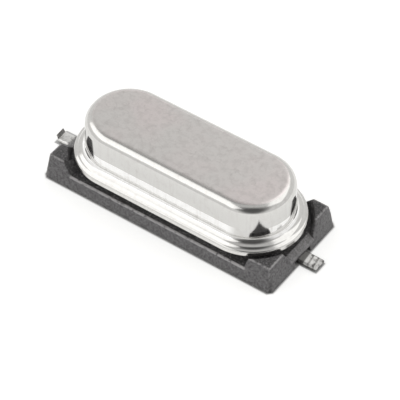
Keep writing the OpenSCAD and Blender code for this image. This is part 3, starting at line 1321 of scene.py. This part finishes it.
@dataclass
class BaseMoulding:
    """The plastic base: four corner blocks around the pocket for the header."""

    # How far the outer faces lean in over the blocks' height, and the cut-back upright corners
    draft: float = 0.21
    back_draft: float = 0.3
    corner_cut: float = 0.17
    # Length of a block at its foot, and how far its inner end leans back: two by two
    block: float = 1.4
    block_lean: float = 0.16
    long_lean: float = 0.47
    # Room around the flange, and how far the pocket's wall leans out
    gap: float = 0.12
    pocket_lean: float = 0.14
    # Width of the notches, and how far the sides of the left and the right one lean out
    notch: float = 1.7
    notch_leans: Span = (0.55, 0.35)
    # Length of the lips, height of the left and the right one's foot, and of what is cut there
    lip: float = 0.34
    lip_feet: Span = (0.56, 0.36)
    lip_cut: float = 0.3
    # The channel under each end, and the room for a wire and its bend
    channel: float = 1.1
    channel_rise: float = 0.28
    hole: float = 0.1
    wire: float = 0.43
    bend: float = 0.32
    # Radius of the rounded edges
    softness: float = 0.028
    soft_segments: int = 3
    crisp: float = 35.0
    # How far the cutters run past the base, past its middle, and around a corner that is picked
    past: float = 1.0
    overlap: float = 0.5
    around: float = 0.1
    piece: bpy.types.Object = field(init=False)
    low: Vector = field(init=False)
    high: Vector = field(init=False)
    seat: float = field(init=False)

    def end(self, side: Side) -> float:
        """X of the base's end face on one side, at the underside."""
        return self.low.x if side is Side.LEFT else self.high.x

    def build(self) -> None:
        """Models the base."""
        self.low, self.high = millimetres("plastic_base")
        self.seat = millimetres("header")[0].z
        self._block()
        self._pocket()
        for side in Side:
            for front in (True, False):
                self._opening(side, front)
        for side, lean, foot in zip(Side, self.notch_leans, self.lip_feet):
            self._notch(side, lean)
            self._lip(side, foot)
            self._wire_way(side)
        self._soften()
        Bench.seal(self.piece, self.crisp)
        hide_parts("plastic_base")

    def _block(self) -> None:
        """The outer form: leaning sides and cut-back upright corners."""
        low, high = self.low, self.high
        self.piece = Bench.block("base_moulding", (low.x, low.y, 0.0), tuple(high))
        for axis, way, shift in (
            (0, -1, self.draft),
            (0, 1, -self.draft),
            (1, -1, self.draft),
            (1, 1, -self.back_draft),
        ):
            Bench.pick(
                lambda vert: vert.co.z > high.z - self.around
                and way * (vert.co[axis] - (low + high)[axis] / 2) > 0,
                "VERT",
            )
            move = (shift, 0.0, 0.0) if axis == 0 else (0.0, shift, 0.0)
            bpy.ops.transform.translate(value=move)
        middle = (low.x + high.x) / 2
        across = ((high.x - low.x) / 2 + high.y - self.corner_cut) / 2
        for way_x, way_y in ((1, 1), (1, -1), (-1, -1), (-1, 1)):
            point = (middle + way_x * across, way_y * across, 0.0)
            away = Vector((way_x, way_y, math.sqrt(2) * self.draft / high.z))
            Bench.trim(point, away.normalized())
        Bench.clear()

    def _pocket(self) -> None:
        """Cuts the round-ended pocket for the flange."""
        _, high = millimetres("metal_can")
        rim, reach = high.y + self.gap, high.x - high.y
        for side in Side:
            place = (side.value * reach, 0.0, self.seat)
            rise = 2 * (self.high.z - self.seat)
            Bench.cut(self.piece, Bench.post("bowl", place, rim, rise, rim + 2 * self.pocket_lean))

    def _slab(
        self, side: Side, foot: float, head: float, sides: Span, top: float
    ) -> bpy.types.Object:
        """A cutter on the seat that runs from the middle to one end, open in edit mode.

        Args:
            side: The end that it runs to.
            foot: How far it reaches along X at the seat.
            head: How far it reaches along X at its top.
            sides: Lowest and highest Y.
            top: Height of its top.

        Returns:
            The cutter.
        """
        near, far = side.run(-self.overlap, foot)
        slab = Bench.block("opening", (near, sides[0], self.seat), (far, sides[1], top))
        Bench.pick(
            lambda vert: vert.co.z > top - self.around and side.value * vert.co.x > self.overlap,
            "VERT",
        )
        bpy.ops.transform.translate(value=(side.value * (head - foot), 0.0, 0.0))
        return slab

    def _opening(self, side: Side, front: bool) -> None:
        """Opens one half of a long side, up to the leaning end of its corner block.

        Args:
            side: The end that the block stands at.
            front: True for the side towards -Y.
        """
        long = front == (side is Side.LEFT)
        lean = self.long_lean if long else self.block_lean
        foot, top = abs(self.end(side)) - self.block, self.high.z + self.past
        head = foot + lean / (self.high.z - self.seat) * (top - self.seat)
        beyond = 2 * self.high.y
        sides = (-beyond, self.overlap) if front else (-self.overlap, beyond)
        Bench.cut(self.piece, self._slab(side, foot, head, sides, top))

    def _notch(self, side: Side, lean: float) -> None:
        """Cuts the notch in one end.

        Args:
            side: The end.
            lean: How far each side of the notch leans out over its height.
        """
        half, long = self.notch / 2, abs(self.end(side)) + self.past
        top = 2 * self.high.z - self.seat
        slab = self._slab(side, long, long, (-half, half), top)
        Bench.pick(lambda face: face.normal.z > Bench.FACING, "FACE")
        wider = (1.0, (half + 2 * lean) / half, 1.0)
        bpy.ops.transform.resize(value=wider, center_override=(0.0, 0.0, top))
        Bench.cut(self.piece, slab)

    def _lip(self, side: Side, foot: float) -> None:
        """Cuts the lip that slopes out below a notch.

        Args:
            side: The end.
            foot: Height that the lip comes down to at the end face.
        """
        inner, outer = abs(self.end(side)) - self.lip, abs(self.end(side)) + self.past
        near, far = side.run(inner, outer)
        half, top = self.notch / 2, self.seat + self.lip_cut
        slab = Bench.block("lip", (near, -half, self.seat), (far, half, top))
        Bench.pick(
            lambda vert: vert.co.z < self.seat + self.around
            and abs(vert.co.x) > outer - self.around,
            "VERT",
        )
        drop = (self.seat - foot) / self.lip * (outer - inner)
        bpy.ops.transform.translate(value=(0.0, 0.0, -drop))
        Bench.cut(self.piece, slab)

    def _wire_way(self, side: Side) -> None:
        """Cuts the channel, the hole and the room for the bend of one lead.

        Args:
            side: The end that the lead comes out at.
        """
        low, high = millimetres(f"glass_seal_{side.word}")
        pin, out = abs(low.x + high.x) / 2, abs(self.end(side)) + self.past
        half, room = self.channel / 2, self.wire / 2 + self.hole
        for name, inner, outer, half_width, top in (
            ("channel", pin - half, out, half, self.channel_rise),
            ("bend", pin, pin + self.bend + self.hole, room, self.bend + self.wire / 2),
        ):
            near, far = side.run(inner, outer)
            slot = Bench.block(name, (near, -half_width, -self.past), (far, half_width, top))
            Bench.cut(self.piece, slot)
        place = (side.value * pin, 0.0, -self.past)
        Bench.cut(self.piece, Bench.post("hole", place, room, self.seat + 2 * self.past))

    def _soften(self) -> None:
        """Rounds the edges that stand out, as a moulding has them."""
        Bench.open(self.piece)
        Bench.merge(4 * DOUBLES)
        bpy.ops.mesh.dissolve_limited(angle_limit=math.radians(Bench.FLAT_TURN))
        bpy.ops.mesh.select_all(action="SELECT")
        bpy.ops.mesh.normals_make_consistent(inside=False)
        Bench.pick(Bench.stands_out, "EDGE")
        Bench.round_edges(self.softness, self.soft_segments, held=False)
        Bench.clear()

    def dress(self) -> None:
        """Gives the base its finish and its place on the unit."""
        finish = MouldedBase(
            low=tuple(self.low),
            high=tuple(self.high),
            seat=self.seat,
            lean=self.draft / self.high.z,
            back_lean=self.back_draft / self.high.z,
            block=self.block,
            lip_length=self.lip,
            lip_feet=self.lip_feet,
            notch=self.notch,
        )
        paint(self.piece, finish.make())
        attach(self.piece, "root")


@dataclass(frozen=True)
class TipForm:
    """How one lead's strip ends and how it lies."""

    # Width of the strip, how far the tip's underside is lifted, and the thickness left there
    width: float
    lift: float
    thin: float
    # Length of the slope on top of a plain tip
    slope: float = 0.0
    # Degrees that the strip is turned aside
    turn: float = 0.0
    # Length and height of a turned-up tip, and its width as a share of the strip's
    fold: "Span | None" = None
    narrow: float = 0.86


TIPS = {
    Side.LEFT: TipForm(width=0.58, lift=0.09, thin=0.08, turn=3.3, fold=(0.13, 0.45)),
    Side.RIGHT: TipForm(width=0.62, lift=0.08, thin=0.08, slope=0.12),
}


@dataclass
class Lead:
    """A round wire that turns outward under the base and is pressed flat there."""

    side: Side
    # Thickness of the wire and of the pressed strip, radius of the bend between them
    wire: float = 0.43
    thickness: float = 0.24
    bend: float = 0.32
    # How far the strip comes out of the base, and the length of the slope under its tip
    out: float = 0.81
    rise: float = 0.3
    # Rounded edges of the strip and of its tip, and the length at the end that counts as the tip
    edge: float = 0.075
    edge_segments: int = 4
    tip_edge: float = 0.015
    tip_segments: int = 2
    tip_length: float = 0.02
    # Sides of the wire, steps around its bend, and how far it reaches into the strip
    wire_sides: int = 40
    bend_steps: int = 14
    joint: float = 0.05
    crisp: float = 35.0
    piece: bpy.types.Object = field(init=False)

    def build(self) -> None:
        """Models the lead as the right side has it, and turns it over for the left."""
        node, form = f"lead_{self.side.word}", TIPS[self.side]
        _, high = millimetres(node)
        base_low, base_high = millimetres("plastic_base")
        end = self.out + (-base_low.x if self.side is Side.LEFT else base_high.x)
        a, b = millimetres(f"glass_seal_{self.side.word}")
        pin = abs(a.x + b.x) / 2
        strip = self._strip(form, pin + self.bend, end)
        wire = self._wire(pin, high.z)
        Bench.cut(strip, wire, "UNION")
        Bench.open(strip)
        Bench.trim((0.0, 0.0, 0.0), (0.0, 0.0, -1.0))
        bpy.ops.mesh.select_all(action="SELECT")
        bpy.ops.transform.rotate(
            value=-math.radians(form.turn), orient_axis="Z", center_override=(pin, 0.0, 0.0)
        )
        if self.side is Side.LEFT:
            bpy.ops.transform.resize(value=(-1.0, -1.0, 1.0), center_override=(0.0, 0.0, 0.0))
        Bench.seal(strip, self.crisp)
        self.piece = strip
        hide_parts(node)

    def _strip(self, form: TipForm, start: float, end: float) -> bpy.types.Object:
        """The pressed run with rounded edges and its tip.

        Args:
            form: How the strip ends.
            start: X where it begins.
            end: X of the tip.

        Returns:
            The strip.
        """
        half, stop = form.width / 2, end - (form.fold[0] if form.fold else 0.0)
        low, high = (start, -half, 0.0), (stop, half, self.thickness)
        strip = Bench.block(f"lead_strip_{self.side.word}", low, high)
        Bench.pick(lambda edge: abs((edge.verts[0].co - edge.verts[1].co).x) > half, "EDGE")
        Bench.round_edges(self.edge, self.edge_segments)
        Bench.trim((stop - self.rise, 0.0, 0.0), Vector((form.lift, 0.0, -self.rise)).normalized())
        if form.slope:
            drop = self.thickness - form.lift - form.thin
            point = (stop - form.slope, 0.0, self.thickness)
            Bench.trim(point, Vector((drop, 0.0, form.slope)).normalized())
        if form.fold:
            self._fold(form, stop, end)
        Bench.pick(
            lambda edge: Bench.stands_out(edge)
            and min(vert.co.x for vert in edge.verts) > stop - self.tip_length,
            "EDGE",
        )
        Bench.round_edges(self.tip_edge, self.tip_segments)
        Bench.clear()
        return strip

    def _fold(self, form: TipForm, stop: float, end: float) -> None:
        """Draws the end face out into the thin turned-up tip.

        Args:
            form: How the strip ends.
            stop: X where the fold begins.
            end: X of the tip.
        """
        top = form.fold[1]
        Bench.pick(lambda face: face.normal.x > Bench.FACING, "FACE")
        Bench.draw_out((end - stop, 0.0, top - self.thickness))
        flatter = (1.0, form.narrow, form.thin / (self.thickness - form.lift))
        bpy.ops.transform.resize(value=flatter, center_override=(end, 0.0, top))
        Bench.pick(lambda vert: vert.co.z > top - form.thin / 2, "VERT")
        bpy.ops.transform.translate(value=(-form.thin / 2, 0.0, 0.0))

    def _wire(self, pin: float, top: float) -> bpy.types.Object:
        """The round run: down through the seal and around the bend.

        Args:
            pin: X of the wire.
            top: Height of its upper end.

        Returns:
            The wire.
        """
        Bench.clear()
        bpy.ops.mesh.primitive_circle_add(
            vertices=self.wire_sides,
            radius=self.wire / 2,
            fill_type="NGON",
            location=(0.0, 0.0, 0.0),
        )
        wire = Bench.start("wire")
        turn = self.thickness / 2 + self.bend
        bpy.ops.transform.translate(value=(pin, 0.0, top))
        Bench.draw_out((0.0, 0.0, turn - top))
        bpy.ops.mesh.spin(
            steps=self.bend_steps,
            angle=math.pi / 2,
            center=(pin + self.bend, 0.0, turn),
            axis=(0.0, 1.0, 0.0),
        )
        Bench.draw_out((self.joint, 0.0, 0.0))
        Bench.merge()
        bpy.ops.mesh.normals_make_consistent(inside=False)
        Bench.clear()
        return wire

    def dress(self, material: bpy.types.Material) -> None:
        """Gives the lead its finish and its place on the unit.

        Args:
            material: The finish, which both leads share.
        """
        paint(self.piece, material)
        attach(self.piece, "root")


@dataclass
class Crystal:
    """What the can holds, the quartz strip with its films, clips and cement, and the seals."""

    clip: PlainMetal = PlainMetal(
        "clip_metal", colour=(0.62, 0.61, 0.58), shadow=(0.48, 0.47, 0.45), rough=0.28
    )
    film: PlainMetal = PlainMetal(
        "silver_film",
        colour=(0.86, 0.85, 0.82),
        shadow=(0.74, 0.72, 0.68),
        rough=0.16,
        grain=40.0,
        depth=0.0004,
    )

    def dress(self, nodes: dict[str, bpy.types.Object]) -> None:
        """Gives each carried-over solid its finish.

        Args:
            nodes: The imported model's objects by name.
        """
        clip, film = self.clip.make(), self.film.make()
        glass, quartz, cement = SealGlass().make(), QuartzBlank().make(), SilverCement().make()
        for side in Side:
            paint(nodes[f"glass_seal_{side.word}"], glass)
            paint(nodes[f"clip_{side.word}"], clip)
            paint(nodes[f"cement_dot_{side.word}"], cement)
        paint(nodes["quartz_strip"], quartz)
        paint(nodes["top_electrode"], film)
        paint(nodes["bottom_electrode"], film)


# ---------------------------------------------------------------------------------------------
# Studio
# ---------------------------------------------------------------------------------------------


def heading(azimuth: float, elevation: float) -> Vector:
    """Unit vector towards a place in the room.

    Args:
        azimuth: Degrees from +X towards +Y.
        elevation: Degrees above the floor.

    Returns:
        The direction.
    """
    a, e = math.radians(azimuth), math.radians(elevation)
    return Vector((math.cos(a) * math.cos(e), math.sin(a) * math.cos(e), math.sin(e)))


@dataclass(frozen=True)
class SoftBox:
    """A large soft light panel, far enough away to be given by its direction."""

    azimuth: float
    elevation: float
    # Half its size at unit distance, its added brightness, and how soft its edges are
    half_width: float
    half_height: float
    level: float
    softness: float = 0.06
    # Cosines of the angle from its middle, over which it fades out sideways
    behind: Span = (0.05, 0.1)

    def glow(self, room: Recipe, look: Signal) -> Signal:
        """Brightness that the panel adds in each direction.

        Args:
            room: The world's tree.
            look: Direction that is looked in.

        Returns:
            The added brightness.
        """
        ahead = heading(self.azimuth, self.elevation)
        across = Vector((0.0, 0.0, 1.0)).cross(ahead).normalized()
        upward = ahead.cross(across)
        depth = room.facing(look, ahead)
        inside: Signal | None = None
        for axis, half in ((across, self.half_width), (upward, self.half_height)):
            spread = room.facing(look, axis) / depth.highest(self.behind[0])
            band = abs(spread).rise(half + self.softness, half - self.softness)
            inside = band if inside is None else inside * band
        return inside * depth.rise(*self.behind) * self.level


@dataclass(frozen=True)
class DimPatch:
    """A round patch of the room that is darker than the rest."""

    azimuth: float
    elevation: float
    # Cosines of the angle from its middle, where it begins and where it is darkest
    edges: Span
    dimming: float

    def left(self, room: Recipe, look: Signal) -> Signal:
        """Share of the room's brightness that the patch leaves in each direction.

        Args:
            room: The world's tree.
            look: Direction that is looked in.

        Returns:
            The share, 1 outside the patch.
        """
        near = room.facing(look, heading(self.azimuth, self.elevation))
        return 1.0 - near.rise(*self.edges) * self.dimming


@dataclass
class Studio:
    """Almost white floor, a pale room with two soft panels, and the camera."""

    # Brightness of the room at floor level, how much is lost overhead, and over which heights
    wall: float = 0.88
    overhead: float = 0.23
    overhead_edges: Span = (0.30, 0.95)
    room_colour: Colour = (1.0, 0.995, 0.985)
    # The place where the camera stands, and the space between the panels
    dim: tuple[DimPatch, ...] = (
        DimPatch(azimuth=-52.0, elevation=38.0, edges=(0.74, 0.975), dimming=0.85),
        DimPatch(azimuth=150.0, elevation=64.0, edges=(0.93, 0.985), dimming=0.40),
    )
    panels: tuple[SoftBox, ...] = (
        SoftBox(azimuth=-140.0, elevation=46.5, half_width=0.75, half_height=0.325, level=0.90),
        SoftBox(azimuth=60.0, elevation=55.0, half_width=0.60, half_height=0.30, level=0.80),
    )
    # The floor: how far it lies below the unit, its paper, its glow, and the width of the contact
    # shadow painted into that glow
    floor_drop: float = 0.02
    floor_size: float = 2000.0
    paper: Colour = (0.575, 0.575, 0.572)
    glow: Colour = (1.0, 1.0, 0.99)
    glow_level: float = 0.62
    painted_shadow_width: float = 0.09
    # The camera: its place and aim, its lens, the width of its sensor, and how near and how far
    # it sees, in metres
    camera_place: Point = (40.384, -55.890, 72.675)
    camera_aim: Point = (1.158, -0.893, 1.5)
    focal: float = 216.2
    sensor: float = 36.0
    sight: Span = (0.001, 50.0)

    def build(self) -> None:
        """Sets up the floor, the light and the camera."""
        self._room()
        self._floor()
        self._camera()
        bpy.context.scene.view_settings.view_transform = "Standard"

    def _room(self) -> None:
        """The room: pale at floor level, darker overhead and where the camera stands."""
        world = bpy.data.worlds.new("room")
        bpy.context.scene.world = world
        room = Recipe(world)
        look = room.vector("NORMALIZE", room.node("ShaderNodeTexCoord", output="Generated"))
        height = room.node("ShaderNodeSeparateXYZ", {}, {0: look}, output=2)
        level = self.wall - height.rise(*self.overhead_edges) * self.overhead
        for patch in self.dim:
            level = level * patch.left(room, look)
        for panel in self.panels:
            level = level + panel.glow(room, look)
        sockets = {"Color": self.room_colour, "Strength": level}
        room.finish(room.node("ShaderNodeBackground", {}, sockets), "ShaderNodeOutputWorld")

    def _floor(self) -> None:
        """A wide pale sheet that keeps a soft shadow of the unit, with a contact shadow painted
        into its glow.
        """
        Bench.clear()
        place = (0.0, 0.0, -self.floor_drop * MM)
        bpy.ops.mesh.primitive_plane_add(size=self.floor_size * MM, location=place)
        floor = bpy.context.object
        floor.name = "floor"
        tree = Finish("floor_paper")
        seen: Signal | None = None
        for ray in Lit:
            one = tree.node("ShaderNodeLightPath", output=ray.value)
            seen = one if seen is None else seen.highest(one)
        paper = tree.node("ShaderNodeBsdfDiffuse", {}, {"Color": self.paper})
        # The glow fades out close to the unit's footprint, which paints its contact shadow there.
        clear_of_painted_shadow = self._clear_of(tree, "plastic_base", BaseMoulding.corner_cut)
        for side in Side:
            clear_of_painted_shadow = clear_of_painted_shadow.lowest(self._clear_of(tree, f"lead_{side.word}"))
        tone = tree.blend(clear_of_painted_shadow.rise(0.0, self.painted_shadow_width), (0.0, 0.0, 0.0), self.glow)
        sockets = {"Color": tone, "Strength": seen * self.glow_level}
        glow = tree.node("ShaderNodeEmission", {}, sockets)
        tree.finish(tree.node("ShaderNodeAddShader", {}, {0: paper, 1: glow}))
        paint(floor, tree.owner)

    @staticmethod
    def _clear_of(tree: Finish, node: str, cut: float = 0.0) -> Signal:
        """Distance on the floor from a CAD node's footprint, in millimetres.

        Args:
            tree: The floor's material.
            node: The CAD node.
            cut: How much is cut off each of its corners, along both sides.

        Returns:
            The distance, 0 or less inside the footprint.
        """
        low, high = millimetres(node)
        out_x, out_y = (
            abs(tree.axis(key) - (a + b) / 2) - (b - a) / 2
            for key, a, b in (("X", low.x, high.x), ("Y", low.y, high.y))
        )
        past_x, past_y = out_x.highest(0.0), out_y.highest(0.0)
        past_corner = (out_x + out_y + cut) / math.sqrt(2)
        return ((past_x * past_x + past_y * past_y) ** 0.5).highest(past_corner)

    def _camera(self) -> None:
        """A long lens that looks down on the unit from its front right."""
        data = bpy.data.cameras.new("camera")
        data.lens = self.focal
        data.sensor_width = self.sensor
        data.clip_start, data.clip_end = self.sight
        camera = bpy.data.objects.new("camera", data)
        bpy.context.scene.collection.objects.link(camera)
        place, aim = Vector(self.camera_place) * MM, Vector(self.camera_aim) * MM
        camera.location = place
        camera.rotation_euler = (aim - place).to_track_quat("-Z", "Y").to_euler()
        bpy.context.scene.camera = camera


def report(name: str, piece: bpy.types.Object) -> None:
    """Logs one finished piece with its number of faces."""
    LOG.info("%s: %d faces", name, len(piece.data.polygons))


def main() -> None:
    """Builds and dresses the unit piece by piece, then sets up the studio."""
    logging.basicConfig(level=logging.INFO, format="%(name)s: %(message)s")
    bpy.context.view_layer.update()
    for part in (BaseMoulding(), HeaderPlate(), MetalCan()):
        part.build()
        part.dress()
        report(type(part).__name__, part.piece)
    base_low, base_high = millimetres("plastic_base")
    tinned = TinnedLead(thickness=Lead.thickness, ends=(base_low.x, base_high.x)).make()
    for side in Side:
        lead = Lead(side)
        lead.build()
        lead.dress(tinned)
        report(f"Lead {side.word}", lead.piece)
    Crystal().dress(frame["nodes"])
    Studio().build()
    LOG.info("sizes written")


if __name__ == "__main__":
    main()
